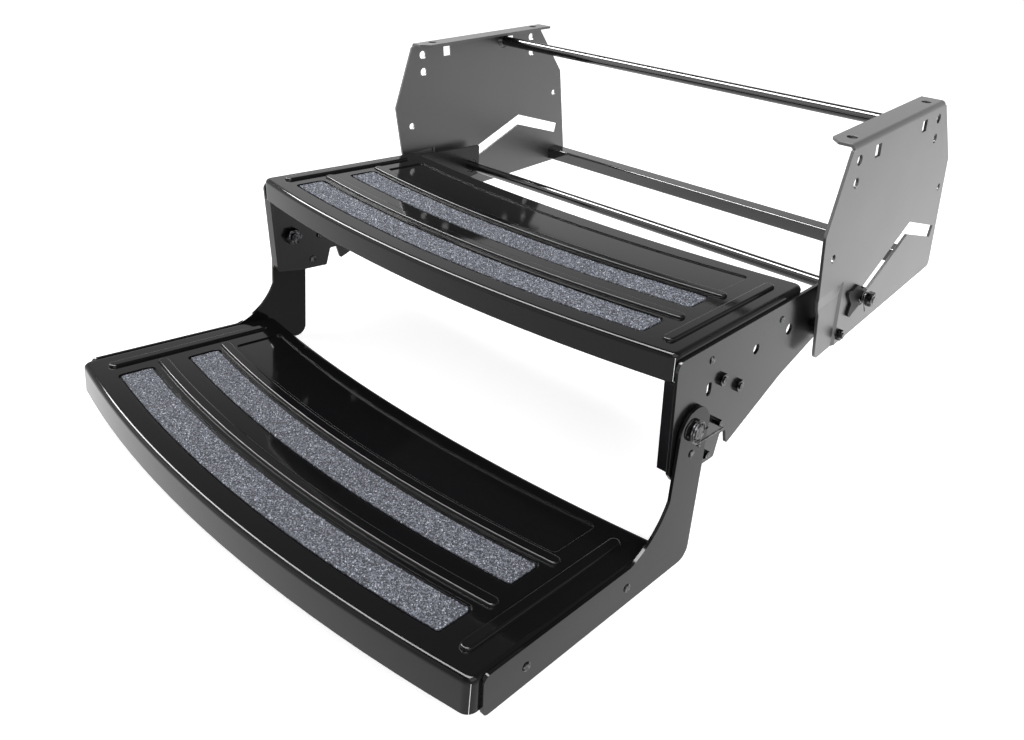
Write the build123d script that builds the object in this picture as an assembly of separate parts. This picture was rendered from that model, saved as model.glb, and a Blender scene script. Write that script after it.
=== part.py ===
from build123d import *
from math import asin, atan2, cos, degrees, pi, radians, sin, sqrt
import os

os.makedirs("parts", exist_ok=True)

# Two-step pull-out entry step for a camper. Millimetres and degrees.
# +Z is up and the front of the step faces -Y. The origin is the middle of the
# four flange bolt holes, on the top face of the frame.

# Frame plates
frame_width = 610.0
plate_t = 3.0
plate_top_half = 114.0
front_shoulder_y = -148.0
front_shoulder_z = -79.0
rear_shoulder_y = 163.0
rear_shoulder_z = -75.0
rear_foot_y = 172.0
frame_height = 215.0
front_foot_y = -129.0
front_setback_y = -134.0
front_setback_z = -164.0
front_waist_y = -143.0
front_waist_z = -146.0
plate_corner_r = 7.0
flange_width = 28.0
flange_chamfer = 11.0
bend_inner_r = 2.0
joggle_depth = 2.0
joggle_rear_y = -94.0
joggle_top_z = -157.0
joggle_ramp = 14.0
joggle_side_ramp = 4.0

# Holes of the frame plates
bolt_hole_d = 10.5
flange_hole_inset = 22.0
flange_hole_from_outer = 14.0
side_hole_y = 100.0
side_hole_upper_z = -17.0
side_hole_lower_z = -39.0
square_hole = 12.7
square_hole_y = 59.0
mid_hole_d = 8.5
mid_hole_front_y = -125.0
mid_hole_z = -107.0
mid_hole_rear_y = 148.0

# Guide slot: rest end, bend and stowed end of the rod's path
rod_rest_y = -42.2
rod_rest_z = -176.4
slot_bend_y = 71.0
slot_bend_z = -135.5
rod_stowed_y = 146.5
rod_stowed_z = -162.0
slot_width = 14.3
slot_end_past_rod = 8.0

# Cross members of the frame
top_rod_d = 13.0
top_rod_y = 44.0
top_rod_z = -15.5
weld_width = 4.0
channel_front_y = 135.0
channel_depth = 20.0
channel_height = 18.0
channel_bottom_z = -211.0
channel_t = 2.5
channel_corner_r = 2.4

# Support rollers
roller_y = -85.0
roller_z = -204.0
roller_r = 9.0
roller_bolt_d = 6.0
roller_head_r = 6.5
roller_head_t = 1.8
roller_from_plate = 2.3
roller_length = 8.1
roller_collar_r = 4.9
locknut_flats = 10.0
locknut_t = 5.0

# Fits
running_clearance = 0.05
face_gap = 0.3

# Rod in the slots
rod_d = 12.7
stud_d = 8.0
stud_past_plate = 16.5
bush_r = 11.0
washer_r = 13.0
washer_t = 2.6
washer_play = 3.0
washer_hang_angle = -25.4
washer_play_margin = 0.15
rod_nut_flats = 14.3
rod_nut_t = 7.0
nut_dome_ratio = 1.12

# Catch lever on the rod's end
lever_t = 2.5
lever_hub_r = 10.0
lever_corner_r = 2.5
catch_wire_d = 1.2
catch_coil_r = 6.0
catch_turns = 1.94
catch_start_angle = 233.0
catch_nose_leg = 9.0
catch_plate_leg = 15.0

# Upper step, in its own level frame with the rod's axis at its origin
upper_pitch = 4.66
upper_plate_inset = 16.0
upper_tread_top = 32.7
upper_front_y = -309.0
upper_rear_y = -96.0
upper_skirt = 24.0
upper_plate_below_tread = 6.0
upper_plate_rear_y = 17.0
upper_front_flange = 12.0
front_flange_setback = 0.8
front_flange_lean = 4.5
rod_boss_r = 14.0
upper_plate_corner_r = 8.0
plate_lower_edge = ((-20, -22), (-126, -52), (-214, -88), (-219, -71), (-228, -71),
                    (-234, -92), (-270, -90), (-298, -85), (-304, -77))

# Both treads are the same stamping
tread_t = 2.0
tread_front_bulge = 26.0
tread_rear_bulge = 21.5
tread_edge_r = 4.5
tread_corner_r = 9.0
strip_from_side = 46.0
strip_t = 1.2
strip_recess = 1.8
strip_margin = 3.0
strip_corner_r = 3.0
strip_front_from_edge = 23.0
strip_width = 29.5
strip_rear_from_edge = 92.0
rib_width = 11.0
rib_height = 2.6
rib_front_from_edge = 66.5
rib_rear_from_edge = 133.0
rib_from_side = 40.0
side_rib_from_side = 21.0
side_rib_front_from_edge = 14.0
side_rib_rear_from_edge = 184.0
panel_front_from_edge = 142.0
panel_rear_from_edge = 194.0
panel_depth = 1.5

# Hinge of the lower step, seen from the rod's axis
pivot_y = -279.0
pivot_z = -43.6
pivot_bolt_d = 10.0
pivot_head_r = 7.0
pivot_head_t = 4.0
pivot_nut_flats = 17.0
pivot_nut_t = 7.0
pivot_washer_r = 15.0
pivot_washer_t = 1.3

# Fold springs at the hinge
fold_wire_d = 1.5
fold_coil_r = 9.2
fold_turns = 1.75
fold_pitch = 1.98
fold_arm_leg = 18.0
fold_leg_past_stud = 2.0
spring_stud_y = -242.5
spring_stud_z = -51.2
spring_stud_r = 3.0
spring_stud_reach = 8.0

# Small fasteners and holes of the upper side plates
stop_pin_r = 4.0
stop_pin_below_hinge = 36.4
stop_pin_reach = 5.5
brace_nut_front_y = -239.5
brace_nut_front_z = -12.3
brace_nut_rear_y = -209.0
brace_nut_rear_z = -30.0
brace_bolt_d = 6.0
brace_nut_flats = 10.0
brace_nut_t = 3.5
rivet_head_r = 3.6
rivet_head_t = 1.1
rivet_d = 5.0
upper_rivet_front_y = -259.0
upper_rivet_front_z = 12.0
upper_rivet_rear_y = -140.7
upper_rivet_rear_z = 11.0
link_hole_d = 10.0
link_hole_y = -183.6
link_hole_z = -4.1
view_hole_d = 12.0
view_hole_y = -122.0
view_hole_z = -4.3
oval_hole_d = 7.0
oval_hole_length = 13.0
oval_hole_y = -258.0
oval_hole_z = -15.0

# Rails that sit on the rollers
rail_front_y = -62.0
rail_rear_y = -20.0
rail_height = 9.0
rail_width = 8.0
rail_t = 3.0

# Lower step, in its own level frame with the hinge's axis at its origin
lower_pitch = 3.47
lower_tread_below = 99.3
lower_front_y = -230.0
lower_rear_y = -22.0
lower_skirt = 29.0
arm_half_width = 21.0
arm_t = 3.0
arm_depth = 35.0
arm_front_y = -222.0
arm_throat_y = -66.0
arm_throat_z = -58.0
throat_mid_y = 15.0
throat_mid_z = 17.5
arm_front_lean = 2.0
arm_heel_y = 22.0
arm_heel_r = 12.0
lower_rivet_front_y = -180.6
lower_rivet_rear_y = -66.8
lower_rivet_z = -117.6
arm_rivet_z = -21.4

# Worked out from the driving dimensions
plate_outer = frame_width / 2
plate_inner = plate_outer - plate_t
flange_hole_x = plate_outer - flange_hole_from_outer
flange_hole_y = plate_top_half - flange_hole_inset
upper_plate_outer = plate_outer - upper_plate_inset
upper_plate_inner = upper_plate_outer - plate_t
strip_half = upper_plate_inner - strip_from_side
rib_half = upper_plate_inner - rib_from_side
side_rib_x = upper_plate_inner - side_rib_from_side
panel_half = upper_plate_inner - strip_from_side
arm_inner = upper_plate_outer + pivot_washer_t + face_gap
arm_outer = arm_inner + arm_t
washer_outer = plate_inner - face_gap
bush_outer = washer_outer - washer_t - face_gap
bush_inner = upper_plate_outer + face_gap
lever_inner = plate_outer + face_gap
lever_outer = lever_inner + lever_t
stud_end = plate_outer + stud_past_plate
rod_nut_inner = stud_end - rod_nut_t - 1.0
roller_outer = plate_inner - roller_from_plate
roller_inner = roller_outer - roller_length
rod_hole_r = rod_d / 2 + washer_play + washer_play_margin
stop_pin_y = pivot_y + arm_heel_y + stop_pin_r + face_gap
spring_inner = arm_outer + face_gap
front_arc_r = (upper_plate_inner ** 2 + tread_front_bulge ** 2) / (2 * tread_front_bulge)

upper_place = Pos(0, rod_rest_y, rod_rest_z) * Rot(-upper_pitch, 0, 0)
lower_place = upper_place * Pos(0, pivot_y, pivot_z) * Rot(-lower_pitch, 0, 0)
sides = (("left", True), ("right", False))


def at_x(x):
    """Plane across X at x, with Y to its right and Z up."""
    return Plane.YZ.offset(x)


def sheet(face, x_from, x_to):
    """Flat piece of the given outline between two values of x."""
    return extrude(at_x(x_from) * face, amount=x_to - x_from)


def disc(y, z, radius, x_from, x_to):
    """Round bar along X."""
    return sheet(Pos(y, z) * Circle(radius), x_from, x_to)


def hexagon(y, z, flats, x_from, x_to):
    """Hexagon bar along X, flats apart by the given size."""
    face = Pos(y, z) * RegularPolygon(flats / 2, 6, major_radius=False)
    return sheet(face, x_from, x_to)


def rounded(points, radius):
    """Closed outline through the points, all corners rounded."""
    face = make_face(Polyline(*points, close=True))
    return fillet(face.vertices(), radius)


def mirrored(shape):
    """The left-hand twin of a right-hand piece."""
    return mirror(shape, about=Plane.YZ)


def both(shape):
    """A right-hand piece and its left-hand twin, as two solids."""
    return Compound(children=list(shape.solids()) + list(mirrored(shape).solids()))


def save(name, shape):
    """Write one sub-part."""
    export_step(shape, f"parts/{name}.step")


# Frame plates
def frame_outline():
    """Outline of a frame plate."""
    points = [
        (-plate_top_half, 0),
        (plate_top_half, 0),
        (rear_shoulder_y, rear_shoulder_z),
        (rear_foot_y, -frame_height),
        (front_foot_y, -frame_height),
        (front_setback_y, front_setback_z),
        (front_waist_y, front_waist_z),
        (front_shoulder_y, front_shoulder_z),
    ]
    face = make_face(Polyline(*points, close=True))
    lower = face.vertices().filter_by(lambda v: v.Y < -1)
    return fillet(lower, plate_corner_r)


def slot_outline():
    """Bent guide slot, round at the rest end and square at the stowed end."""
    rest = Vector(rod_rest_y, rod_rest_z)
    bend = Vector(slot_bend_y, slot_bend_z)
    stowed = Vector(rod_stowed_y, rod_stowed_z)
    first = (bend - rest).normalized()
    second = (stowed - bend).normalized()
    half = slot_width / 2
    n1 = Vector(-first.Y, first.X) * half
    n2 = Vector(-second.Y, second.X) * half
    miter = (n1 + n2) * (half ** 2 / (half ** 2 + n1.dot(n2)))
    end = stowed + second * slot_end_past_rod
    corners = [rest + n1, bend + miter, end + n2, end - n2, bend - miter, rest - n1]
    body = make_face(Polyline(*[(c.X, c.Y) for c in corners], close=True))
    return body + Pos(rest.X, rest.Y) * Circle(half)


def side_holes():
    """Every hole of a frame plate's web, as one flat outline."""
    holes = slot_outline()
    for end in (-1, 1):
        for z in (side_hole_upper_z, side_hole_lower_z):
            holes += Pos(end * side_hole_y, z) * Circle(bolt_hole_d / 2)
        square = Rectangle(square_hole, square_hole)
        holes += Pos(end * square_hole_y, side_hole_upper_z) * square
    holes += Pos(mid_hole_front_y, mid_hole_z) * Circle(mid_hole_d / 2)
    holes += Pos(mid_hole_rear_y, mid_hole_z) * Circle(mid_hole_d / 2)
    holes += Pos(roller_y, roller_z) * Circle(roller_bolt_d / 2)
    return holes


def joggle_zone():
    """Lower front corner of the plate that is pressed inwards."""
    low = -frame_height - 1
    top = joggle_top_z + joggle_ramp
    rear = joggle_rear_y + joggle_side_ramp
    points = [(-200, low), (rear, low), (rear, top), (-200, top)]
    return make_face(Polyline(*points, close=True))


def joggle_block():
    """Solid that the pressed corner is cut from, with both of its ramps."""
    inner = plate_inner - joggle_depth
    top = joggle_top_z + joggle_ramp
    rear = joggle_rear_y + joggle_side_ramp
    low = -frame_height - 1
    strip = make_face(Polyline((-200, low), (joggle_rear_y, low),
                               (joggle_rear_y, joggle_top_z), (-200, joggle_top_z), close=True))
    block = sheet(strip, inner, inner + plate_t)
    upper_ramp = make_face(Polyline((inner, joggle_top_z), (inner + plate_t, joggle_top_z),
                                    (plate_outer, top), (plate_inner, top), close=True))
    ramp = Plane((0, -200, 0), x_dir=(1, 0, 0), z_dir=(0, -1, 0)) * upper_ramp
    block += extrude(ramp, amount=-(joggle_rear_y + 200))
    side_ramp = make_face(Polyline((inner, joggle_rear_y), (inner + plate_t, joggle_rear_y),
                                   (plate_outer, rear), (plate_inner, rear), close=True))
    block += extrude(Pos(0, 0, low) * side_ramp, amount=top - low)
    return block


def top_flange():
    """Inward top flange of the right-hand plate, with the bend that joins it to the web."""
    inner = plate_outer - flange_width
    outer_r = bend_inner_r + plate_t
    low = -outer_r
    bend = (plate_outer - outer_r, -outer_r)
    outside = [
        Line((inner, 0), (bend[0], 0)),
        RadiusArc((bend[0], 0), (plate_outer, low), outer_r),
        Line((plate_outer, low), (plate_inner, low)),
        RadiusArc((plate_inner, low), (bend[0], -plate_t), -bend_inner_r),
        Line((bend[0], -plate_t), (inner, -plate_t)),
        Line((inner, -plate_t), (inner, 0)),
    ]
    section = Plane((0, plate_top_half, 0), x_dir=(1, 0, 0), z_dir=(0, -1, 0)) * make_face(outside)
    flange = extrude(section, amount=2 * plate_top_half)
    cut = Polyline((inner - 1, -plate_top_half - 1), (inner + flange_chamfer, -plate_top_half - 1),
                   (inner + flange_chamfer, -plate_top_half),
                   (inner, flange_chamfer - plate_top_half),
                   (inner - 1, flange_chamfer - plate_top_half), close=True)
    return flange - extrude(Pos(0, 0, -2 * plate_t) * make_face(cut), amount=3 * plate_t)


def frame_plate():
    """Right-hand frame plate: web, pressed corner, slot, holes and top flange."""
    outline = frame_outline()
    below_bend = Pos(0, -bend_inner_r - plate_t) * Rectangle(
        4 * plate_top_half, 2 * frame_height, align=(Align.CENTER, Align.MAX))
    web = sheet((outline & below_bend) - joggle_zone(), plate_inner, plate_outer)
    corner = joggle_block() & sheet(outline, plate_inner - joggle_depth, plate_outer)
    plate = web + corner + top_flange()
    plate -= sheet(side_holes(), plate_inner - joggle_depth - 1, plate_outer + 1)
    for end in (-1, 1):
        hole = Pos(flange_hole_x, end * flange_hole_y, -plate_t) * Cylinder(bolt_hole_d / 2, 10)
        plate -= hole
    return plate


# Cross members of the frame
def top_cross_rod():
    """Round bar between the frame plates, with the weld ring at each end."""
    rod = disc(top_rod_y, top_rod_z, top_rod_d / 2, -plate_inner, plate_inner)
    cone = Cone(top_rod_d / 2 + weld_width, top_rod_d / 2, weld_width)
    weld = Pos(plate_inner - weld_width / 2, top_rod_y, top_rod_z) * Rot(0, -90, 0) * cone
    return rod + weld + mirrored(weld)


def rear_cross_channel():
    """Channel between the frame plates, open to the rear."""
    outer = Rectangle(channel_depth, channel_height, align=Align.MIN)
    corners = outer.vertices().filter_by(lambda v: v.X < 1)
    outer = fillet(corners, channel_corner_r)
    inner = Pos(channel_t, channel_t) * Rectangle(
        channel_depth, channel_height - 2 * channel_t, align=Align.MIN)
    section = Pos(channel_front_y, channel_bottom_z) * (outer - inner)
    return sheet(section, -plate_inner, plate_inner)


# Support rollers
def support_roller():
    """Roller on its bolt, inside the right-hand frame plate."""
    roller = disc(roller_y, roller_z, roller_r, roller_inner, roller_outer)
    ends = roller.edges().filter_by(GeomType.CIRCLE)
    roller = chamfer(ends, 0.8)
    bore = roller_bolt_d / 2 + running_clearance
    return roller - disc(roller_y, roller_z, bore, roller_inner - 1, roller_outer + 1)


def roller_bolt():
    """Low-headed bolt from inside, with a collar that keeps the roller off the plate."""
    head_outer = roller_inner - face_gap
    bolt = disc(roller_y, roller_z, roller_head_r, head_outer - roller_head_t, head_outer)
    end = plate_outer + locknut_t + 1.5
    bolt += disc(roller_y, roller_z, roller_bolt_d / 2, head_outer, end)
    collar_inner = roller_outer + face_gap
    return bolt + disc(roller_y, roller_z, roller_collar_r, collar_inner, plate_inner)


def roller_nut():
    """Locknut on the outside of the frame plate."""
    nut = hexagon(roller_y, roller_z, locknut_flats, plate_outer, plate_outer + locknut_t)
    hole = disc(roller_y, roller_z, roller_bolt_d / 2, plate_outer - 1, plate_outer + locknut_t + 1)
    return nut - hole


# Rod, bushes, washers and nuts
def slot_rod():
    """Rod that carries the rear of the upper step, with a stud through each slot."""
    rod = disc(0, 0, rod_d / 2, -bush_outer, bush_outer)
    rod += disc(0, 0, stud_d / 2, -stud_end, stud_end)
    return chamfer(rod.faces().sort_by(Axis.X)[-1].edges() + rod.faces().sort_by(Axis.X)[0].edges(), 0.8)


def slot_bush():
    """Plain bush that keeps the step centred between the frame plates."""
    bush = disc(0, 0, bush_r, bush_inner, bush_outer)
    return bush - disc(0, 0, rod_d / 2 + running_clearance, bush_inner - 1, bush_outer + 1)


def slot_washer():
    """Loose washer that hangs on the stud with play in its hole, in line with the side plate's hole."""
    y = washer_play * cos(radians(washer_hang_angle))
    z = washer_play * sin(radians(washer_hang_angle))
    hole = stud_d / 2 + washer_play + washer_play_margin
    inner = washer_outer - washer_t
    washer = disc(y, z, washer_r, inner, washer_outer)
    return washer - disc(y, z, hole, inner - 1, washer_outer + 1)


def rod_nut():
    """Hexagon nut on the rod's end."""
    outer = rod_nut_inner + rod_nut_t
    nut = hexagon(0, 0, rod_nut_flats, rod_nut_inner, outer)
    dome = disc(0, 0, rod_nut_flats / 2 * nut_dome_ratio, rod_nut_inner, outer)
    dome = chamfer(dome.edges().filter_by(GeomType.CIRCLE), 1.0)
    return (nut & dome) - disc(0, 0, stud_d / 2, rod_nut_inner - 1, outer + 1)


# Catch lever and its spring
def catch_lever():
    """Flat lever on the rod's end: a nose to the front and a short tail below it."""
    nose = [(-4, 9.5), (-16, 17.5), (-28, 14), (-40, 16), (-35, 8.5), (-26, -1),
            (-30, -13), (-24, -16.5), (-16.5, -13.4), (-4, -9)]
    face = rounded(nose, lever_corner_r) + Circle(lever_hub_r)
    face -= Circle(stud_d / 2 + running_clearance)
    return sheet(face, lever_inner, lever_outer)


def coil(radius, turns, pitch, x_from, start_angle, leg_in, leg_out):
    """Path of a coil about X that starts and ends in straight tangent legs.

    The turns are quarter-turn pairs of arcs that climb by the pitch, and the legs are level.
    """
    steps = max(2, round(turns * 4))
    def point(i):
        a = radians(start_angle + 360.0 * turns * i / steps)
        x = x_from + pitch * turns * i / steps
        return Vector(x, radius * cos(a), radius * sin(a))
    def tangent(i):
        a = radians(start_angle + 360.0 * turns * i / steps)
        lean = 0 if i in (0, steps) else pitch / (2 * pi * radius)
        return Vector(lean, -sin(a), cos(a)).normalized()
    edges = []
    for i in range(steps):
        edges += biarc(point(i), tangent(i), point(i + 1), tangent(i + 1))
    head = Line(point(0) - tangent(0) * leg_in, point(0))
    tail = Line(point(steps), point(steps) + tangent(steps) * leg_out)
    return Wire([head] + edges + [tail])


def biarc(start, start_dir, end, end_dir):
    """Two arcs from start to end that leave and arrive along the given directions."""
    chord = end - start
    dirs = start_dir + end_dir
    a = 2 * (1 - start_dir.dot(end_dir))
    b = 2 * chord.dot(dirs)
    c = -chord.dot(chord)
    d = (-b + sqrt(b * b - 4 * a * c)) / (2 * a)
    middle = (start + start_dir * d + end - end_dir * d) * 0.5
    first = TangentArc(start, middle, tangent=start_dir)
    second = TangentArc(end, middle, tangent=end_dir * -1)
    return [first, second]


def wound(path, wire_d, name):
    """Sweep a round wire along a path and print its least gap to itself."""
    start = path @ 0
    section = Plane(origin=start, z_dir=path % 0) * Circle(wire_d / 2)
    tube = sweep(section, path=path)
    samples = [path @ (i / 240) for i in range(241)]
    apart = path.length * 3 / 240 + wire_d * 3
    gap = 1e9
    for i, p in enumerate(samples):
        for j in range(i + 1, len(samples)):
            if (j - i) * path.length / 240 > apart:
                gap = min(gap, (p - samples[j]).length - wire_d)
    print(name, "least gap to itself", round(gap, 2), "volume", round(tube.volume),
          "section times length", round(pi * wire_d ** 2 / 4 * path.length))
    return tube


def catch_spring():
    """Torsion spring round the stud, between the lever and the nut."""
    room = rod_nut_inner - lever_outer - 2 * face_gap - catch_wire_d
    pitch = room / catch_turns
    x = lever_outer + face_gap + catch_wire_d / 2
    path = coil(catch_coil_r, catch_turns, pitch, x, catch_start_angle, catch_nose_leg, catch_plate_leg)
    return wound(path, catch_wire_d, "catch spring")


# Treads
def arc_y(y_end, x):
    """Height of the tread's front curve at x, where y_end is its place at the corner."""
    edge = upper_plate_inner
    return y_end - (sqrt(front_arc_r ** 2 - x ** 2) - sqrt(front_arc_r ** 2 - edge ** 2))


def curve(y_corner, half, flip=False):
    """Arc along the front curve, from one end of a strip or rib to the other."""
    ends = [(-half, arc_y(y_corner, half)), (0, arc_y(y_corner, 0)), (half, arc_y(y_corner, half))]
    if flip:
        ends.reverse()
    return ThreePointArc(*ends)


def band(y_front, y_rear, half, radius):
    """Area between two curves, with rounded corners."""
    front = curve(y_front, half)
    rear = curve(y_rear, half, flip=True)
    face = make_face([front, Line(front @ 1, rear @ 0), rear, Line(rear @ 1, front @ 0)])
    return fillet(face.vertices(), radius)


def strip_area(front, edge_y, margin=0.0):
    """Area of one grip strip, or of its recess with the margin."""
    return band(edge_y + front - margin, edge_y + front + strip_width + margin,
                strip_half + margin, strip_corner_r + margin)


def tread_outline(half, front_y, rear_y):
    """Plan of a tread: curved front and rear, straight sides."""
    front = ThreePointArc((-half, front_y), (0, front_y - tread_front_bulge), (half, front_y))
    rear = ThreePointArc((half, rear_y), (0, rear_y - tread_rear_bulge), (-half, rear_y))
    face = make_face([front, Line((half, front_y), (half, rear_y)),
                      rear, Line((-half, rear_y), (-half, front_y))])
    return face


def rib(area):
    """Raised round-topped rib over the given area."""
    body = extrude(area, amount=rib_height)
    return fillet(body.faces().sort_by(Axis.Z)[-1].edges(), rib_height * 0.8)


def tread(half, front_y, rear_y, top, skirt):
    """Stamped tread with skirts, recesses for the strips and the rear panel, and ribs."""
    outline = tread_outline(half, front_y, rear_y)
    outer = extrude(Pos(0, 0, top - skirt) * outline, amount=skirt)
    outer = fillet(outer.edges().filter_by(Axis.Z), tread_corner_r)
    outer = fillet(outer.faces().sort_by(Axis.Z)[-1].edges(), tread_edge_r)
    inside = offset(outline, amount=-tread_t, kind=Kind.INTERSECTION)
    thickness = tread_t + panel_depth
    cavity = extrude(Pos(0, 0, top - skirt - 1) * inside, amount=skirt + 1 - thickness)
    pan = outer - cavity
    for start in (strip_front_from_edge, strip_rear_from_edge):
        area = strip_area(start, front_y, strip_margin)
        pan -= extrude(Pos(0, 0, top - strip_recess) * area, amount=5)
    panel = band(front_y + panel_front_from_edge, front_y + panel_rear_from_edge, panel_half, 5)
    pan -= extrude(Pos(0, 0, top - panel_depth) * panel, amount=5)
    for place in (rib_front_from_edge, rib_rear_from_edge):
        y = front_y + place
        pan += Pos(0, 0, top) * rib(SlotArc(arc=curve(y, rib_half), height=rib_width).face())
    length = side_rib_rear_from_edge - side_rib_front_from_edge
    middle = front_y + (side_rib_rear_from_edge + side_rib_front_from_edge) / 2
    for x in (-side_rib_x, side_rib_x):
        area = Rot(0, 0, 90) * SlotOverall(length, rib_width).face()
        pan += Pos(x, middle, top) * rib(area)
    return pan


def strip(start, front_y, top):
    """Grip strip lying in its recess."""
    area = strip_area(start, front_y)
    return extrude(Pos(0, 0, top - strip_recess) * area, amount=strip_t)


# Upper side plates and what they carry
def upper_plate_outline():
    """Side plate of the upper step: deep at the hinge, slim at the rod."""
    top = upper_tread_top - upper_plate_below_tread
    points = [
        (upper_front_y, top),
        (upper_plate_rear_y, top),
        (upper_plate_rear_y, -rod_boss_r),
    ]
    face = make_face(Polyline(*points, *plate_lower_edge, close=True))
    corners = face.vertices().sort_by(Axis.X)
    face = fillet(corners[1:], 2.4)
    front = face.vertices().filter_by(lambda v: v.X < upper_front_y + 0.1)
    return fillet(front.sort_by(Axis.Y)[-1], upper_plate_corner_r)


def upper_side_plate():
    """Right-hand side plate with its holes and turned-in front edge."""
    face = upper_plate_outline()
    angle = radians(washer_hang_angle + upper_pitch)
    face -= Pos(washer_play * cos(angle), washer_play * sin(angle)) * Circle(rod_hole_r)
    face -= Pos(pivot_y, pivot_z) * Circle(pivot_bolt_d / 2)
    face -= Pos(link_hole_y, link_hole_z) * Circle(link_hole_d / 2)
    face -= Pos(view_hole_y, view_hole_z) * Circle(view_hole_d / 2)
    oval = Rot(0, 0, 90) * SlotOverall(oval_hole_length, oval_hole_d)
    face -= Pos(oval_hole_y, oval_hole_z) * oval
    for y, z in brace_places() + [(spring_stud_y, spring_stud_z)]:
        face -= Pos(y, z) * Circle(brace_bolt_d / 2)
    face -= Pos(stop_pin_y, pivot_z - stop_pin_below_hinge) * Circle(stop_pin_r)
    for y, z in upper_rivet_places():
        face -= Pos(y, z) * Circle(rivet_d / 2)
    plate = sheet(face, upper_plate_inner, upper_plate_outer)
    low = pivot_z - arm_half_width - 10
    high = upper_tread_top - upper_skirt - 1.0
    top_y = upper_front_y + front_flange_setback
    low_y = upper_front_y + front_flange_lean
    flange = make_face(Polyline((top_y, high), (top_y + plate_t, high),
                                (low_y + plate_t, low), (low_y, low), close=True))
    return plate + sheet(flange, upper_plate_outer - upper_front_flange, upper_plate_inner + 0.5)


def brace_places():
    """Places of the two brace bolts of a side plate."""
    return [(brace_nut_front_y, brace_nut_front_z), (brace_nut_rear_y, brace_nut_rear_z)]


def upper_rivet_places():
    """Places of the two tread rivets of an upper side plate."""
    return [(upper_rivet_front_y, upper_rivet_front_z), (upper_rivet_rear_y, upper_rivet_rear_z)]


def rivet(y, z, inner, outer, through):
    """Round-headed rivet from the outside of a plate into what lies behind it."""
    head = disc(y, z, rivet_head_r, outer, outer + rivet_head_t)
    head = chamfer(head.faces().sort_by(Axis.X)[-1].edges(), rivet_head_t * 0.6)
    return head + disc(y, z, rivet_d / 2, inner - through, outer)


def brace_bolt(y, z):
    """Short bolt with its head inside the side plate."""
    head = disc(y, z, brace_nut_flats / 2, upper_plate_inner - 3, upper_plate_inner)
    return head + disc(y, z, brace_bolt_d / 2, upper_plate_inner, upper_plate_outer + brace_nut_t + 1)


def brace_nut(y, z):
    """Nut on the outside of the side plate."""
    outer = upper_plate_outer + brace_nut_t
    nut = hexagon(y, z, brace_nut_flats, upper_plate_outer, outer)
    return nut - disc(y, z, brace_bolt_d / 2, upper_plate_outer - 1, outer + 1)


def support_rail():
    """Angle on the outside of the side plate that sits on the roller."""
    contact = Vector(0, roller_y - rod_rest_y, roller_z - rod_rest_z).rotate(Axis.X, upper_pitch)
    bottom = contact.Z + roller_r + face_gap
    foot = make_face(Polyline((rail_front_y, bottom), (rail_rear_y, bottom),
                              (rail_rear_y, bottom + rail_t), (rail_front_y, bottom + rail_t), close=True))
    back = make_face(Polyline((rail_front_y, bottom), (rail_rear_y, bottom),
                              (rail_rear_y, bottom + rail_height), (rail_front_y, bottom + rail_height), close=True))
    rail = sheet(foot, upper_plate_outer, upper_plate_outer + rail_width)
    return rail + sheet(back, upper_plate_outer, upper_plate_outer + rail_t)


# Hinge of the lower step
def pivot_bolt():
    """Hinge bolt with its low head outside."""
    bolt = disc(0, 0, pivot_bolt_d / 2, upper_plate_inner - pivot_nut_t - 2, spring_inner)
    head = disc(0, 0, pivot_head_r, spring_inner, spring_inner + pivot_head_t)
    return bolt + chamfer(head.faces().sort_by(Axis.X)[-1].edges(), 1.2)


def pivot_nut():
    """Locknut of the hinge bolt, inside the side plate."""
    nut = hexagon(0, 0, pivot_nut_flats, upper_plate_inner - pivot_nut_t, upper_plate_inner)
    return nut - disc(0, 0, pivot_bolt_d / 2, upper_plate_inner - pivot_nut_t - 1, upper_plate_inner + 1)


def pivot_washer():
    """Washer between the side plate and the arm."""
    outer = upper_plate_outer + pivot_washer_t
    washer = disc(0, 0, pivot_washer_r, upper_plate_outer, outer)
    return washer - disc(0, 0, pivot_bolt_d / 2, upper_plate_outer - 1, outer + 1)


def fold_spring():
    """Torsion spring round the hinge bolt's head, with a leg over the stud."""
    x = spring_inner + fold_wire_d / 2
    dy = spring_stud_y - pivot_y
    dz = spring_stud_z - pivot_z
    apart = sqrt(dy ** 2 + dz ** 2)
    drop = fold_coil_r - spring_stud_r - fold_wire_d / 2 - face_gap
    heading = degrees(atan2(dz, dy) + asin(drop / apart))
    start = heading - 90 - 360 * fold_turns
    leg = sqrt(apart ** 2 - drop ** 2) + fold_leg_past_stud
    path = coil(fold_coil_r, fold_turns, fold_pitch, x, start, fold_arm_leg, leg)
    return wound(path, fold_wire_d, "fold spring")


def spring_stud():
    """Stud that the spring's leg rests on, with a round head."""
    neck = disc(0, 0, brace_bolt_d / 2, upper_plate_inner - 2, upper_plate_outer)
    return neck + disc(0, 0, spring_stud_r, upper_plate_outer, upper_plate_outer + spring_stud_reach)


def stop_pin():
    """Pin behind the arm that the lower step rests against."""
    z = pivot_z - stop_pin_below_hinge
    return disc(stop_pin_y, z, stop_pin_r, upper_plate_inner - 1, upper_plate_outer + stop_pin_reach)


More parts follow.
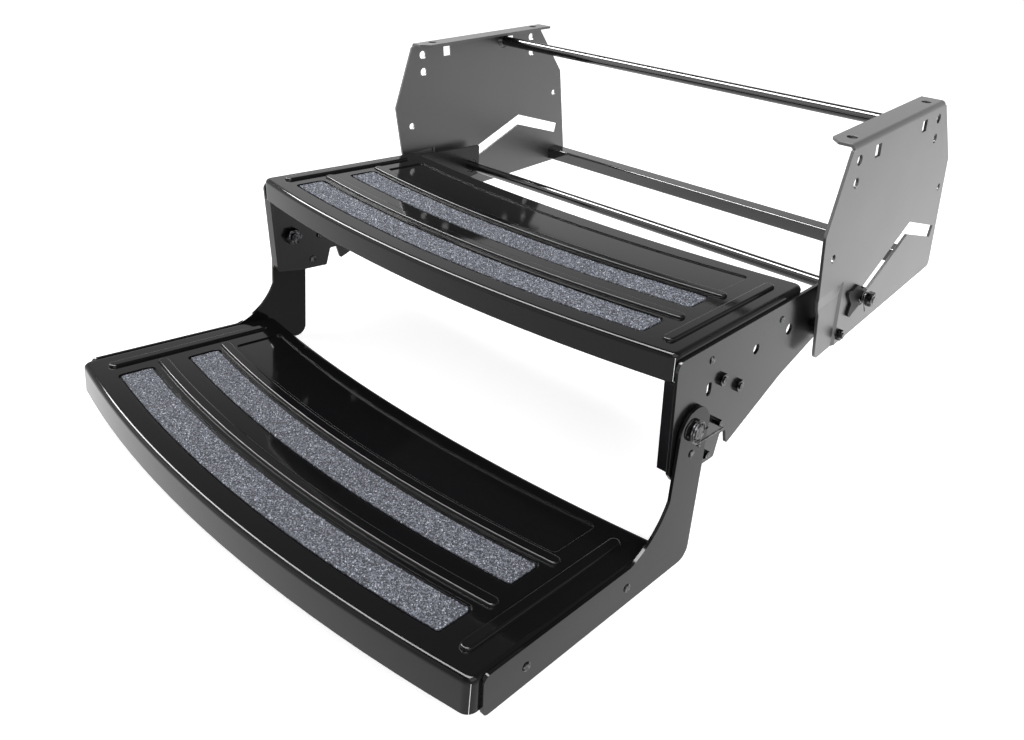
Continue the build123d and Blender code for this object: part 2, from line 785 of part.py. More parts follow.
# Lower step
def arm_outline():
    """Arm of the lower step: round at the hinge, with a foot along the tread."""
    w = arm_half_width
    top = -lower_tread_below
    bottom = -lower_tread_below - arm_depth
    throat = ThreePointArc((-w, arm_throat_z), (-w - throat_mid_y, top + throat_mid_z), (arm_throat_y, top))
    edges = [
        ThreePointArc((w, 0), (0, w), (-w, 0)),
        Line((-w, 0), (-w, arm_throat_z)),
        throat,
        Line((arm_throat_y, top), (arm_front_y, top)),
        Line((arm_front_y, top), (arm_front_y + arm_front_lean, bottom)),
        Line((arm_front_y + arm_front_lean, bottom), (arm_heel_y, bottom)),
        Line((arm_heel_y, bottom), (w, 0)),
    ]
    face = make_face(edges)
    corners = face.vertices()
    front = corners.filter_by(lambda v: v.X < arm_front_y + 5)
    face = fillet(front, 6)
    heel = face.vertices().filter_by(lambda v: v.X > arm_half_width and v.Y < bottom + 1)
    return fillet(heel, arm_heel_r)


def lower_arm():
    """Right-hand arm of the lower step."""
    face = arm_outline()
    face -= Circle(pivot_bolt_d / 2 + running_clearance)
    for y in (lower_rivet_front_y, lower_rivet_rear_y):
        face -= Pos(y, lower_rivet_z) * Circle(rivet_d / 2)
    face -= Pos(0, arm_rivet_z) * Circle(rivet_d / 2)
    return sheet(face, arm_inner, arm_outer)


def arm_rivet():
    """Rivet at the foot of the arm's hinge boss."""
    return rivet(0, arm_rivet_z, arm_inner, arm_outer, 0)


# Build every piece and write it
def build_frame():
    """Pieces that are bolted to the vehicle."""
    plate = frame_plate()
    pieces = {
        "top_cross_rod": top_cross_rod(),
        "rear_cross_channel": rear_cross_channel(),
        "roller_bolts": both(roller_bolt()),
        "roller_nuts": both(roller_nut()),
    }
    for side, left in sides:
        pieces[f"frame_plate_{side}"] = mirrored(plate) if left else plate
        pieces[f"support_roller_{side}"] = mirrored(support_roller()) if left else support_roller()
    return pieces


def build_upper():
    """Pieces of the upper step, with the rod that slides in the slots."""
    at_pivot = Pos(0, pivot_y, pivot_z)
    at_stud = Pos(0, spring_stud_y, spring_stud_z)
    half = upper_plate_inner
    front = upper_front_y
    top = upper_tread_top
    rivets = Compound(children=[rivet(y, z, upper_plate_inner, upper_plate_outer, tread_t)
                                for y, z in upper_rivet_places()])
    bolts = Compound(children=[brace_bolt(y, z) for y, z in brace_places()])
    nuts = Compound(children=[brace_nut(y, z) for y, z in brace_places()])
    rivet_holes = rivets + mirrored(rivets)
    pieces = {
        "upper_tread": tread(half, front, upper_rear_y, top, upper_skirt) - rivet_holes,
        "upper_strip_front": strip(strip_front_from_edge, front, top),
        "upper_strip_rear": strip(strip_rear_from_edge, front, top),
        "slot_rod": slot_rod(),
        "slot_rod_nuts": both(rod_nut()),
        "upper_tread_rivets": both(rivets),
        "brace_bolts": both(bolts),
        "brace_nuts": both(nuts),
        "pivot_bolts": both(at_pivot * pivot_bolt()),
        "pivot_nuts": both(at_pivot * pivot_nut()),
        "pivot_washers": both(at_pivot * pivot_washer()),
        "spring_studs": both(at_stud * spring_stud()),
        "stop_pins": both(stop_pin()),
    }
    handed = {
        "upper_side_plate": upper_side_plate(),
        "support_rail": support_rail(),
        "fold_spring": at_pivot * fold_spring(),
        "catch_spring": catch_spring(),
        "catch_lever": catch_lever(),
        "slot_bush": slot_bush(),
    }
    for name, shape in handed.items():
        for side, left in sides:
            pieces[f"{name}_{side}"] = mirrored(shape) if left else shape
    return {name: upper_place * shape for name, shape in pieces.items()}


def build_washers():
    """Loose washers, which hang straight down from the rod whatever the step's pitch."""
    washer = Pos(0, rod_rest_y, rod_rest_z) * slot_washer()
    return {f"slot_washer_{side}": mirrored(washer) if left else washer for side, left in sides}


def build_lower():
    """Pieces of the lower step, which folds over the upper one."""
    top = -lower_tread_below
    rivets = Compound(children=[rivet(y, lower_rivet_z, arm_inner, arm_outer, tread_t)
                                for y in (lower_rivet_front_y, lower_rivet_rear_y)])
    rivet_holes = rivets + mirrored(rivets)
    pan = tread(arm_inner, lower_front_y, lower_rear_y, top, lower_skirt) - rivet_holes
    pieces = {
        "lower_tread": pan,
        "lower_strip_front": strip(strip_front_from_edge, lower_front_y, top),
        "lower_strip_rear": strip(strip_rear_from_edge, lower_front_y, top),
        "lower_tread_rivets": both(rivets),
        "arm_rivets": both(arm_rivet()),
    }
    for side, left in sides:
        pieces[f"lower_arm_{side}"] = mirrored(lower_arm()) if left else lower_arm()
    return {name: lower_place * shape for name, shape in pieces.items()}


if __name__ == "__main__":
    for group in (build_frame(), build_washers(), build_upper(), build_lower()):
        for name, shape in group.items():
            save(name, shape)
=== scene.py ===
"""Looks of the two-tread camper entry step: gloss black paint, grit strips, nylon and dark steel.

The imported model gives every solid. This script dresses its nodes, scatters the grains of the grit
strips, and sets the studio and the camera. All lengths are in metres.
"""

import logging
import math
from dataclasses import dataclass, field
from enum import Enum

import bpy
from mathutils import Matrix, Vector


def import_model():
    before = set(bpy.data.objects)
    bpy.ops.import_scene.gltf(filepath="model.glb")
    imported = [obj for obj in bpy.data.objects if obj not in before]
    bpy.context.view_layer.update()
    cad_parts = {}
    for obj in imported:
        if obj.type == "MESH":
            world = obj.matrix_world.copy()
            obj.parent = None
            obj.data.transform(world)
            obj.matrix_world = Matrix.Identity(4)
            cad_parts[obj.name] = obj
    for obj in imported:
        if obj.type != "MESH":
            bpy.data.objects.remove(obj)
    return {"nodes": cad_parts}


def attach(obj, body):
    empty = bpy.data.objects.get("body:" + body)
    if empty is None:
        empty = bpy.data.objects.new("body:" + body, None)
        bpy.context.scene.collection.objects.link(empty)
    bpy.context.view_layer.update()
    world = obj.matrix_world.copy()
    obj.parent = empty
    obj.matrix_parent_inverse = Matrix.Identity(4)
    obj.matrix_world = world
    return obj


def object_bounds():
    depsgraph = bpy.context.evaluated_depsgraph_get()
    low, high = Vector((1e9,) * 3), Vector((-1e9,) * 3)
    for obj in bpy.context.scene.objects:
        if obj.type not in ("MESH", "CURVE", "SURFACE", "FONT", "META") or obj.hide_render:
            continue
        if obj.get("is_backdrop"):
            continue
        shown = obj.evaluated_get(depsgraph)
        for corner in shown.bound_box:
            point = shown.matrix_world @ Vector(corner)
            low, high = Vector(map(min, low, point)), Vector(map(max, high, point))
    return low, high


log = logging.getLogger("entry_step")
IMAGE_WIDTH = 1024
IMAGE_HEIGHT = 740
FLOOR_GAP = 0.0005
EDGE_SAMPLES = 4
SHADE_ATTRIBUTE = "shade"


class Side(Enum):
    """The two sides of the step, seen from the user."""

    LEFT = "left"
    RIGHT = "right"


def pair(name: str) -> list:
    """Names of a left and right node."""
    return [f"{name}_{side.value}" for side in Side]


class NodeTree:
    """A short way to add and join the nodes of one material or world."""

    def __init__(self, owner: bpy.types.ID, output: str) -> None:
        """Starts from an empty tree with its output node.

        Args:
            owner: the material or world that holds the tree.
            output: the output node's type name.
        """
        owner.use_nodes = True
        self.owner = owner
        self.tree = owner.node_tree
        self.tree.nodes.clear()
        self.output = self.add(output)

    def add(self, kind: str, **values: object) -> bpy.types.Node:
        """Adds one node and sets its inputs or properties.

        Args:
            kind: the node's type name.
            values: properties, or inputs with spaces written as underscores.

        Returns:
            The new node.
        """
        node = self.tree.nodes.new(kind)
        for key, value in values.items():
            if hasattr(node, key):
                setattr(node, key, value)
            else:
                node.inputs[key.replace("_", " ")].default_value = value
        return node

    def join(self, source: bpy.types.NodeSocket, target: bpy.types.NodeSocket) -> None:
        """Links an output to an input."""
        self.tree.links.new(source, target)

    def shader(self, **values: object) -> bpy.types.Node:
        """Adds the principled shader and joins it to the output.

        Args:
            values: inputs of the shader, with spaces written as underscores.

        Returns:
            The shader node.
        """
        shader = self.add("ShaderNodeBsdfPrincipled", **values)
        self.join(shader.outputs["BSDF"], self.output.inputs["Surface"])
        return shader

    def noise(self, scale: float, detail: float) -> bpy.types.NodeSocket:
        """Adds a noise texture on object coordinates.

        Args:
            scale: cells per metre.
            detail: octaves of the noise.

        Returns:
            The noise's value.
        """
        place = self.add("ShaderNodeTexCoord")
        texture = self.add("ShaderNodeTexNoise", Scale=scale, Detail=detail)
        self.join(place.outputs["Object"], texture.inputs["Vector"])
        return texture.outputs["Fac"]

    def ramp(self, source: bpy.types.NodeSocket, stops: tuple) -> bpy.types.NodeSocket:
        """Adds a colour ramp after a value.

        Args:
            source: the value that it reads.
            stops: pairs of position and grey level or colour, in rising order.

        Returns:
            The ramp's colour.
        """
        node = self.add("ShaderNodeValToRGB")
        elements = node.color_ramp.elements
        while len(elements) < len(stops):
            elements.new(0.5)
        for element, (position, level) in zip(elements, stops):
            element.position = position
            colour = level if isinstance(level, tuple) else (level, level, level)
            element.color = (*colour, 1.0)
        self.join(source, node.inputs["Fac"])
        return node.outputs["Color"]

    def relief(self, height: bpy.types.NodeSocket, strength: float, depth: float,
               edge_radius: float = 0.0) -> bpy.types.NodeSocket:
        """Adds fine relief, over edges that look rounded where a radius is given.

        Args:
            height: the pattern that raises the surface.
            strength: how much of the relief shows.
            depth: the height of the pattern.
            edge_radius: the radius of the edges.

        Returns:
            The normal of the relief.
        """
        bump = self.add("ShaderNodeBump", Strength=strength, Distance=depth)
        self.join(height, bump.inputs["Height"])
        if edge_radius:
            edge = self.add("ShaderNodeBevel", Radius=edge_radius, samples=EDGE_SAMPLES)
            self.join(edge.outputs["Normal"], bump.inputs["Normal"])
        return bump.outputs["Normal"]


def new_material(name: str) -> NodeTree:
    """The node tree of a new, empty material."""
    return NodeTree(bpy.data.materials.new(name), "ShaderNodeOutputMaterial")


@dataclass(frozen=True)
class Paint:
    """Black paint on pressed steel, with orange peel and softened edges."""

    name: str
    colour: tuple = (0.0055, 0.0055, 0.006)
    roughness: float = 0.1
    roughness_spread: float = 0.05
    specular: float = 0.5
    coat: float = 0.0
    coat_roughness: float = 0.05
    edge_radius: float = 0.0006
    peel: float = 0.00002
    peel_scale: float = 260.0
    cloud_scale: float = 14.0

    def make(self) -> bpy.types.Material:
        """Builds the material.

        Returns:
            The finished material.
        """
        tree = new_material(self.name)
        shader = tree.shader(Base_Color=(*self.colour, 1.0), Roughness=self.roughness,
                             Specular_IOR_Level=self.specular, Coat_Weight=self.coat,
                             Coat_Roughness=self.coat_roughness)
        half_spread = self.roughness_spread / 2
        span = tree.add("ShaderNodeMapRange", To_Min=self.roughness - half_spread,
                        To_Max=self.roughness + half_spread)
        tree.join(tree.noise(self.cloud_scale, detail=3.0), span.inputs["Value"])
        tree.join(span.outputs["Result"], shader.inputs["Roughness"])
        normal = tree.relief(tree.noise(self.peel_scale, detail=2.0), strength=1.0, depth=self.peel,
                             edge_radius=self.edge_radius)
        tree.join(normal, shader.inputs["Normal"])
        tree.join(normal, shader.inputs["Coat Normal"])
        return tree.owner


@dataclass(frozen=True)
class Speckle:
    """Three mineral tones, and where each one starts and ends on a value from 0 to 1."""

    dark: tuple
    middle: tuple
    light: tuple
    dark_end: float
    middle_start: float
    middle_end: float

    def stops(self) -> tuple:
        """The tones as the stops of a colour ramp."""
        return ((0.0, self.dark), (self.dark_end, self.dark), (self.middle_start, self.middle),
                (self.middle_end, self.middle), (1.0, self.light))


@dataclass(frozen=True)
class Grain:
    """Mineral grains, each with a shade of its own."""

    name: str
    tones: Speckle = Speckle(dark=(0.05, 0.053, 0.063), middle=(0.24, 0.257, 0.305),
                             light=(0.68, 0.7, 0.78), dark_end=0.35, middle_start=0.6, middle_end=0.88)
    roughness: float = 0.6
    specular: float = 0.1
    mark_scale: float = 2600.0
    mark_depth: float = 0.0001

    def make(self) -> bpy.types.Material:
        """Builds the material.

        Returns:
            The finished material.
        """
        tree = new_material(self.name)
        shader = tree.shader(Roughness=self.roughness, Specular_IOR_Level=self.specular)
        shade = tree.add("ShaderNodeAttribute", attribute_name=SHADE_ATTRIBUTE)
        tree.join(tree.ramp(shade.outputs["Fac"], self.tones.stops()), shader.inputs["Base Color"])
        normal = tree.relief(tree.noise(self.mark_scale, detail=2.0), strength=0.4,
                             depth=self.mark_depth)
        tree.join(normal, shader.inputs["Normal"])
        return tree.owner


@dataclass(frozen=True)
class Grit:
    """Speckled mineral grit on a dark backing."""

    name: str
    tones: Speckle = Speckle(dark=(0.04, 0.042, 0.05), middle=(0.155, 0.163, 0.195),
                             light=(0.5, 0.52, 0.56), dark_end=0.45, middle_start=0.72, middle_end=0.93)
    roughness: float = 0.7
    specular: float = 0.1
    cell_scale: float = 950.0
    cell_depth: float = 0.0006

    def make(self) -> bpy.types.Material:
        """Builds the material.

        Returns:
            The finished material.
        """
        tree = new_material(self.name)
        shader = tree.shader(Roughness=self.roughness, Specular_IOR_Level=self.specular)
        place = tree.add("ShaderNodeTexCoord")
        cells = tree.add("ShaderNodeTexVoronoi", Scale=self.cell_scale)
        tree.join(place.outputs["Object"], cells.inputs["Vector"])
        split = tree.add("ShaderNodeSeparateColor")
        tree.join(cells.outputs["Color"], split.inputs["Color"])
        tree.join(tree.ramp(split.outputs["Red"], self.tones.stops()), shader.inputs["Base Color"])
        normal = tree.relief(split.outputs["Green"], strength=0.8, depth=self.cell_depth)
        tree.join(normal, shader.inputs["Normal"])
        return tree.owner


@dataclass(frozen=True)
class Steel:
    """Dark steel of fasteners, washers and springs, with brighter rubbed spots."""

    name: str
    colour: tuple = (0.05, 0.05, 0.052)
    rubbed: tuple = (0.3, 0.3, 0.31)
    plain_end: float = 0.45
    rubbed_start: float = 0.75
    roughness: float = 0.3
    metallic: float = 1.0
    wear_scale: float = 420.0
    wear_depth: float = 0.00005
    edge_radius: float = 0.0004

    def make(self) -> bpy.types.Material:
        """Builds the material.

        Returns:
            The finished material.
        """
        tree = new_material(self.name)
        shader = tree.shader(Metallic=self.metallic, Roughness=self.roughness)
        wear = tree.noise(self.wear_scale, detail=4.0)
        stops = ((self.plain_end, self.colour), (self.rubbed_start, self.rubbed))
        tree.join(tree.ramp(wear, stops), shader.inputs["Base Color"])
        normal = tree.relief(wear, strength=0.5, depth=self.wear_depth, edge_radius=self.edge_radius)
        tree.join(normal, shader.inputs["Normal"])
        return tree.owner


@dataclass(frozen=True)
class Nylon:
    """Smooth black nylon of the bushes and rollers."""

    name: str
    colour: tuple = (0.012, 0.012, 0.012)
    roughness: float = 0.4
    mark_scale: float = 900.0
    mark_depth: float = 0.00004

    def make(self) -> bpy.types.Material:
        """Builds the material.

        Returns:
            The finished material.
        """
        tree = new_material(self.name)
        shader = tree.shader(Base_Color=(*self.colour, 1.0), Roughness=self.roughness)
        normal = tree.relief(tree.noise(self.mark_scale, detail=2.0), strength=0.3,
                             depth=self.mark_depth)
        tree.join(normal, shader.inputs["Normal"])
        return tree.owner


@dataclass
class NodeShape:
    """A Geometry Nodes tree with named inputs, run once and kept as a plain mesh."""

    name: str

    def __post_init__(self) -> None:
        """Starts the tree with its geometry in and out."""
        self.tree = bpy.data.node_groups.new(self.name, "GeometryNodeTree")
        for direction in ("INPUT", "OUTPUT"):
            self.tree.interface.new_socket("Geometry", in_out=direction, socket_type="NodeSocketGeometry")
        self.source = self.tree.nodes.new("NodeGroupInput")
        self.sink = self.tree.nodes.new("NodeGroupOutput")
        self.given = {}

    def ask(self, name: str, kind: str, value: object) -> bpy.types.NodeSocket:
        """Adds a named input with its value.

        Args:
            name: the input's name.
            kind: the socket's type name.
            value: what the piece sets it to.

        Returns:
            The socket to join from.
        """
        item = self.tree.interface.new_socket(name, in_out="INPUT", socket_type=kind)
        self.given[item.identifier] = value
        return self.source.outputs[name]

    def node(self, kind: str, **links: object) -> bpy.types.Node:
        """Adds a node, and joins or sets its inputs.

        Args:
            kind: the node's type name.
            links: sockets or values by input name, or properties of the node.

        Returns:
            The new node.
        """
        node = self.tree.nodes.new(kind)
        for key, value in links.items():
            if hasattr(node, key) and not isinstance(value, bpy.types.NodeSocket):
                setattr(node, key, value)
                continue
            slot = next(s for s in node.inputs if s.enabled and s.name == key.replace("_", " "))
            if isinstance(value, bpy.types.NodeSocket):
                self.tree.links.new(value, slot)
            else:
                slot.default_value = value
        return node

    def run(self, mesh: bpy.types.Mesh, name: str, shape: bpy.types.NodeSocket,
            material: bpy.types.Material) -> bpy.types.Object:
        """Ends the tree, runs it on a mesh and keeps the result.

        Args:
            mesh: the mesh that the tree starts from.
            name: the new piece's name.
            shape: the socket that carries the finished shape.
            material: the finish of the piece.

        Returns:
            The piece as a plain mesh object at the origin.
        """
        real = self.node("GeometryNodeRealizeInstances", Geometry=shape)
        dressed = self.node("GeometryNodeSetMaterial", Geometry=real.outputs["Geometry"])
        dressed.inputs["Material"].default_value = material
        self.tree.links.new(dressed.outputs["Geometry"], self.sink.inputs["Geometry"])
        carrier = bpy.data.objects.new(f"{name}_carrier", mesh)
        bpy.context.scene.collection.objects.link(carrier)
        modifier = carrier.modifiers.new("shape", "NODES")
        modifier.node_group = self.tree
        for identifier, value in self.given.items():
            modifier[identifier] = value
        bpy.context.view_layer.update()
        graph = bpy.context.evaluated_depsgraph_get()
        made = bpy.data.meshes.new_from_object(carrier.evaluated_get(graph), depsgraph=graph)
        bpy.data.objects.remove(carrier)
        made.name = name
        piece = bpy.data.objects.new(name, made)
        bpy.context.scene.collection.objects.link(piece)
        log.info("%s made, %d faces", name, len(made.polygons))
        return piece


@dataclass
class GritGrains:
    """Grains of grit scattered over the top of a strip."""

    material: bpy.types.Material
    density: float = 520000.0
    smallest: float = 0.00032
    largest: float = 0.00085
    least_upward: float = 0.9
    grain_sides: int = 4
    grain_rings: int = 2
    seed: int = 11
    shade_seed: int = 16

    def make(self, strip: bpy.types.Object, body: str) -> None:
        """Scatters the grains on one strip and lets them ride with it.

        Args:
            strip: the strip's CAD node.
            body: the body that carries it.
        """
        shape = NodeShape(f"{strip.name}_scatter")
        density = shape.ask("Density", "NodeSocketFloat", self.density)
        smallest = shape.ask("Smallest", "NodeSocketFloat", self.smallest)
        largest = shape.ask("Largest", "NodeSocketFloat", self.largest)
        seed = shape.ask("Seed", "NodeSocketInt", self.seed)
        normal = shape.node("GeometryNodeInputNormal")
        parts = shape.node("ShaderNodeSeparateXYZ", Vector=normal.outputs["Normal"])
        upward = shape.node("FunctionNodeCompare", operation="GREATER_THAN", A=parts.outputs["Z"],
                            B=self.least_upward)
        points = shape.node("GeometryNodeDistributePointsOnFaces", Mesh=shape.source.outputs["Geometry"],
                            Selection=upward.outputs["Result"], Density=density, Seed=seed)
        grain = shape.node("GeometryNodeMeshUVSphere", Segments=self.grain_sides, Rings=self.grain_rings,
                           Radius=1.0)
        size = shape.node("FunctionNodeRandomValue", data_type="FLOAT", Min=smallest, Max=largest, Seed=seed)
        turn = shape.node("FunctionNodeRandomValue", data_type="FLOAT_VECTOR",
                          Max=(math.tau, math.tau, math.tau), Seed=seed)
        spread = shape.node("GeometryNodeInstanceOnPoints", Points=points.outputs["Points"],
                            Instance=grain.outputs["Mesh"], Rotation=turn.outputs[0], Scale=size.outputs[1])
        shade = shape.node("FunctionNodeRandomValue", data_type="FLOAT", Seed=self.shade_seed)
        named = shape.node("GeometryNodeStoreNamedAttribute", data_type="FLOAT", domain="INSTANCE",
                           Geometry=spread.outputs["Instances"], Name=SHADE_ATTRIBUTE,
                           Value=shade.outputs[1])
        piece = shape.run(strip.data.copy(), f"{strip.name}_grains", named.outputs["Geometry"], self.material)
        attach(piece, body)


class Finish(Enum):
    """The finishes of the step, each with what makes its material."""

    GLOSS = Paint("gloss_black_tread_paint", roughness=0.07, roughness_spread=0.03, specular=0.14,
                  peel=0.000008)
    PLATE = Paint("black_frame_plate_paint", roughness=0.42, roughness_spread=0.08, specular=0.85,
                  coat=0.55, coat_roughness=0.3)
    SIDE = Paint("black_side_plate_paint", roughness=0.22, specular=0.3, peel=0.000006)
    ROD = Paint("black_rod_paint", roughness=0.1, specular=0.8, peel=0.000008)
    GRIT = Grit("grey_grit")
    GRAIN = Grain("grey_grit_grains")
    STEEL = Steel("dark_steel")
    FASTENER = Steel("black_fastener", colour=(0.012, 0.012, 0.013), rubbed=(0.16, 0.16, 0.165),
                     roughness=0.16)
    NYLON = Nylon("black_nylon")
    LEVER = Paint("satin_black_lever_paint", roughness=0.5, specular=0.2)


@dataclass
class Finishes:
    """The materials of all finishes, made once."""

    made: dict = field(default_factory=dict)

    def build(self) -> None:
        """Makes each finish's material."""
        for finish in Finish:
            self.made[finish] = finish.value.make()

    def dress(self, nodes: dict, names: list, finish: Finish) -> None:
        """Gives some CAD nodes one finish.

        Args:
            nodes: the loaded CAD nodes by name.
            names: the nodes to dress.
            finish: the finish that they get.
        """
        for name in names:
            mesh = nodes[name].data
            mesh.materials.clear()
            mesh.materials.append(self.made[finish])
            log.info("%s dressed in %s", name, finish.value.name)

    def dress_strips(self, nodes: dict, names: list, body: str) -> None:
        """Gives grit strips their backing and their grains.

        Args:
            nodes: the loaded CAD nodes by name.
            names: the strips to dress.
            body: the body that carries them.
        """
        self.dress(nodes, names, Finish.GRIT)
        for name in names:
            GritGrains(self.made[Finish.GRAIN]).make(nodes[name], body)


@dataclass
class FixedFrame:
    """The two slotted plates and what is welded or bolted to them."""

    finishes: Finishes

    def dress(self, nodes: dict) -> None:
        """Gives the frame's nodes their finishes."""
        self.finishes.dress(nodes, pair("frame_plate"), Finish.PLATE)
        self.finishes.dress(nodes, ["top_cross_rod", "rear_cross_channel"], Finish.ROD)
        self.finishes.dress(nodes, ["roller_bolts", "roller_nuts"], Finish.FASTENER)
        self.finishes.dress(nodes, pair("support_roller"), Finish.NYLON)


@dataclass
class RodGroup:
    """The rod in the slots with its nuts, bushes, washers, levers and springs."""

    finishes: Finishes

    def dress(self, nodes: dict) -> None:
        """Gives the rod's nodes their finishes."""
        self.finishes.dress(nodes, ["slot_rod"], Finish.ROD)
        self.finishes.dress(nodes, ["slot_rod_nuts"], Finish.FASTENER)
        self.finishes.dress(nodes, pair("slot_bush"), Finish.NYLON)
        self.finishes.dress(nodes, pair("slot_washer") + pair("catch_spring"), Finish.STEEL)
        self.finishes.dress(nodes, pair("catch_lever"), Finish.LEVER)


@dataclass
class UpperStep:
    """The upper tread, its side plates and the hinge hardware."""

    finishes: Finishes

    def dress(self, nodes: dict) -> None:
        """Gives the upper step's nodes their finishes and adds its grains."""
        self.finishes.dress(nodes, ["upper_tread"], Finish.GLOSS)
        self.finishes.dress_strips(nodes, ["upper_strip_front", "upper_strip_rear"], "upper_step")
        self.finishes.dress(nodes, pair("upper_side_plate") + pair("support_rail"), Finish.SIDE)
        self.finishes.dress(nodes, ["upper_tread_rivets", "brace_bolts", "brace_nuts", "pivot_bolts",
                                    "pivot_nuts", "spring_studs", "stop_pins"], Finish.FASTENER)
        self.finishes.dress(nodes, ["pivot_washers"] + pair("fold_spring"), Finish.STEEL)


@dataclass
class LowerStep:
    """The lower tread and its two arms."""

    finishes: Finishes

    def dress(self, nodes: dict) -> None:
        """Gives the lower step's nodes their finishes and adds its grains."""
        self.finishes.dress(nodes, ["lower_tread"] + pair("lower_arm"), Finish.GLOSS)
        self.finishes.dress_strips(nodes, ["lower_strip_front", "lower_strip_rear"], "lower_step")
        self.finishes.dress(nodes, ["lower_tread_rivets", "arm_rivets"], Finish.FASTENER)


@dataclass(frozen=True)
class Lamp:
    """One soft area lamp, which hangs at a place and faces its aim."""

    name: str
    place: tuple
    aim: tuple
    size: tuple
    power: float
    lights_diffuse: bool = True

    def build(self) -> None:
        """Hangs the lamp and turns it to its aim."""
        data = bpy.data.lights.new(self.name, "AREA")
        data.shape = "RECTANGLE"
        data.size, data.size_y = self.size
        data.energy = self.power
        lamp = bpy.data.objects.new(self.name, data)
        lamp.visible_diffuse = self.lights_diffuse
        lamp.location = self.place
        lamp.rotation_mode = "QUATERNION"
        back = (Vector(self.place) - Vector(self.aim)).normalized()
        across = Vector((0, 1, 0)).cross(back).normalized()
        turn = Matrix((across, back.cross(across), back)).transposed()
        lamp.rotation_quaternion = turn.to_quaternion()
        bpy.context.scene.collection.objects.link(lamp)


@dataclass
class Studio:
    """Floor, world and soft lamps. The card lamp shows in gloss and lights no diffuse surface."""

    floor_z: float
    floor_half: float = 6.0
    floor_grey: tuple = (0.86, 0.86, 0.86)
    floor_roughness: float = 0.9
    glow: float = 0.7
    white: tuple = (1.0, 1.0, 1.0)
    sky: tuple = ((0.0, 1.0), (0.3, 1.0), (0.42, 0.55), (0.6, 0.3), (0.85, 0.1))
    lamps: tuple = (
        Lamp("key", place=(1.9, -0.7, 1.7), aim=(0.0, -0.2, -0.2), size=(2.2, 2.2), power=52.0),
        Lamp("fill", place=(-1.6, -2.0, 1.2), aim=(0.0, -0.3, -0.2), size=(2.4, 2.4), power=18.0),
        Lamp("top", place=(0.0, -0.2, 2.2), aim=(0.0, -0.2, 0.0), size=(1.4, 1.4), power=28.0),
        Lamp("card", place=(-1.7, -0.3, 1.8), aim=(-1.7, -0.3, 0.0), size=(4.6, 0.8), power=420.0,
             lights_diffuse=False),
    )

    def build(self) -> None:
        """Makes the floor, the world and the lamps."""
        self.floor()
        self.world()
        for lamp in self.lamps:
            lamp.build()

    def floor(self) -> None:
        """Lays the pale floor."""
        half = self.floor_half
        outline = [(-half, -half), (half, -half), (half, half), (-half, half)]
        mesh = bpy.data.meshes.new("floor")
        mesh.from_pydata([(x, y, self.floor_z) for x, y in outline], [], [(0, 1, 2, 3)])
        mesh.materials.append(self.floor_paint())
        floor = bpy.data.objects.new("floor", mesh)
        bpy.context.scene.collection.objects.link(floor)
        floor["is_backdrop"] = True

    def floor_paint(self) -> bpy.types.Material:
        """Makes a floor as white in reflections as to the camera, which keeps the object's shadow.

        Returns:
            The finished material.
        """
        tree = new_material("pale_floor")
        shader = tree.shader(Base_Color=(*self.floor_grey, 1.0), Roughness=self.floor_roughness,
                             Specular_IOR_Level=0.0)
        glow = tree.add("ShaderNodeEmission", Color=(*self.white, 1.0), Strength=self.glow)
        bright = tree.add("ShaderNodeAddShader")
        tree.join(shader.outputs["BSDF"], bright.inputs[0])
        tree.join(glow.outputs["Emission"], bright.inputs[1])
        path = tree.add("ShaderNodeLightPath")
        seen = path.outputs["Is Camera Ray"]
        for ray in ("Is Glossy Ray", "Is Transmission Ray"):
            either = tree.add("ShaderNodeMath", operation="MAXIMUM")
            tree.join(seen, either.inputs[0])
            tree.join(path.outputs[ray], either.inputs[1])
            seen = either.outputs["Value"]
        mix = tree.add("ShaderNodeMixShader")
        tree.join(seen, mix.inputs["Fac"])
        tree.join(shader.outputs["BSDF"], mix.inputs[1])
        tree.join(bright.outputs["Shader"], mix.inputs[2])
        tree.join(mix.outputs["Shader"], tree.output.inputs["Surface"])
        return tree.owner

    def world(self) -> None:
        """Makes the world, the same for every ray: a white horizon below a dim ceiling."""
        tree = NodeTree(bpy.data.worlds.new("studio"), "ShaderNodeOutputWorld")
        place = tree.add("ShaderNodeTexCoord")
        split = tree.add("ShaderNodeSeparateXYZ")
        tree.join(place.outputs["Generated"], split.inputs["Vector"])
        around = tree.add("ShaderNodeBackground")
        tree.join(tree.ramp(split.outputs["Z"], self.sky), around.inputs["Color"])
        tree.join(around.outputs["Background"], tree.output.inputs["Surface"])
        bpy.context.scene.world = tree.owner


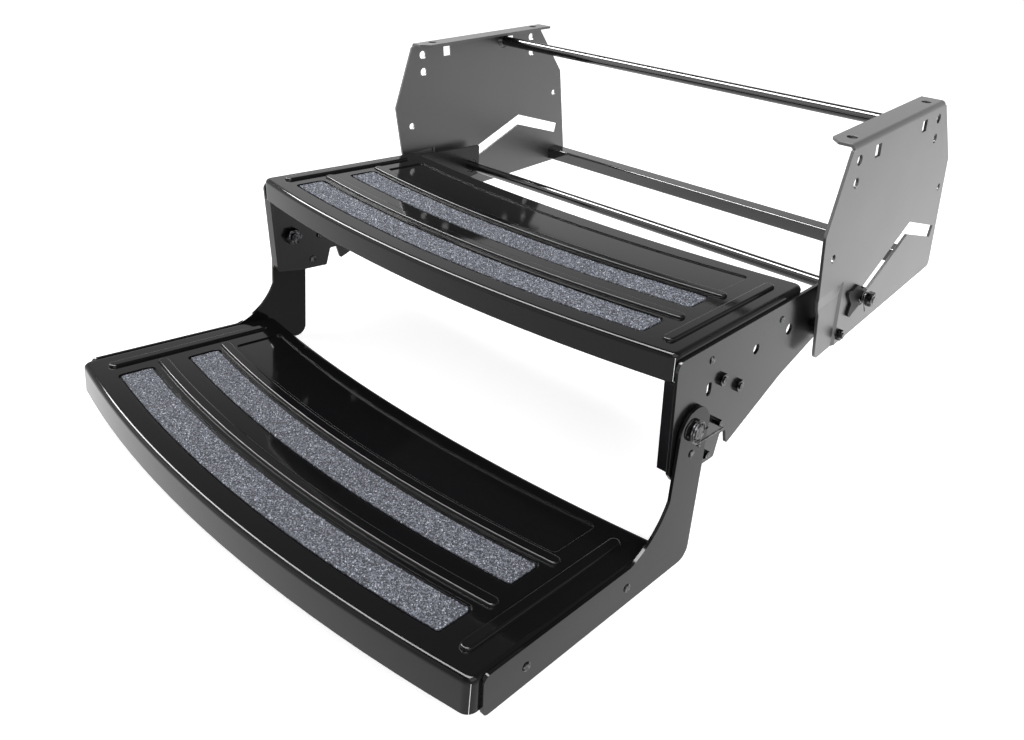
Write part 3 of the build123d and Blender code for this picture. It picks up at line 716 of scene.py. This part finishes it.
@dataclass(frozen=True)
class Viewpoint:
    """A camera at the photograph's viewing angle, with its angles in degrees and its sensor in mm."""

    place: tuple = (0.5874, -0.8090, 0.2142)
    azimuth: float = 37.342
    elevation: float = 25.40
    roll: float = 2.498
    focal_px: float = 845.1
    centre_col: float = 627.5
    centre_row: float = 268.0
    sensor_width: float = 36.0
    nearest: float = 0.01

    def build(self) -> None:
        """Makes the camera and sets it as the scene's."""
        azimuth, elevation, roll = (math.radians(v) for v in (self.azimuth, self.elevation, self.roll))
        back = Vector((math.sin(azimuth) * math.cos(elevation), -math.cos(azimuth) * math.cos(elevation),
                       math.sin(elevation)))
        right = (-back).cross(Vector((0, 0, 1))).normalized()
        up = right.cross(-back)
        turned_right = math.cos(roll) * right + math.sin(roll) * up
        turned_up = -math.sin(roll) * right + math.cos(roll) * up
        data = bpy.data.cameras.new("viewpoint")
        data.sensor_width = self.sensor_width
        data.lens = self.focal_px * self.sensor_width / IMAGE_WIDTH
        data.shift_x = (IMAGE_WIDTH / 2 - self.centre_col) / IMAGE_WIDTH
        data.shift_y = (self.centre_row - IMAGE_HEIGHT / 2) / IMAGE_WIDTH
        data.clip_start = self.nearest
        camera = bpy.data.objects.new("viewpoint", data)
        turn = Matrix((turned_right, turned_up, back)).transposed().to_4x4()
        camera.matrix_world = Matrix.Translation(self.place) @ turn
        bpy.context.scene.collection.objects.link(camera)
        bpy.context.scene.camera = camera


def corners(box: tuple) -> list:
    """Two corners of a box as plain lists of numbers."""
    return [[float(v) for v in corner] for corner in box]


def main() -> None:
    """Builds the scene in order and reports each piece."""
    logging.basicConfig(level=logging.INFO, format="%(message)s")
    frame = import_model()
    cad_box = corners(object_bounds())
    finishes = Finishes()
    finishes.build()
    for group in (FixedFrame(finishes), RodGroup(finishes), UpperStep(finishes), LowerStep(finishes)):
        group.dress(frame["nodes"])
    Studio(floor_z=cad_box[0][2] - FLOOR_GAP).build()
    Viewpoint().build()
    bpy.context.scene.view_settings.view_transform = "Standard"


if __name__ == "__main__":
    main()
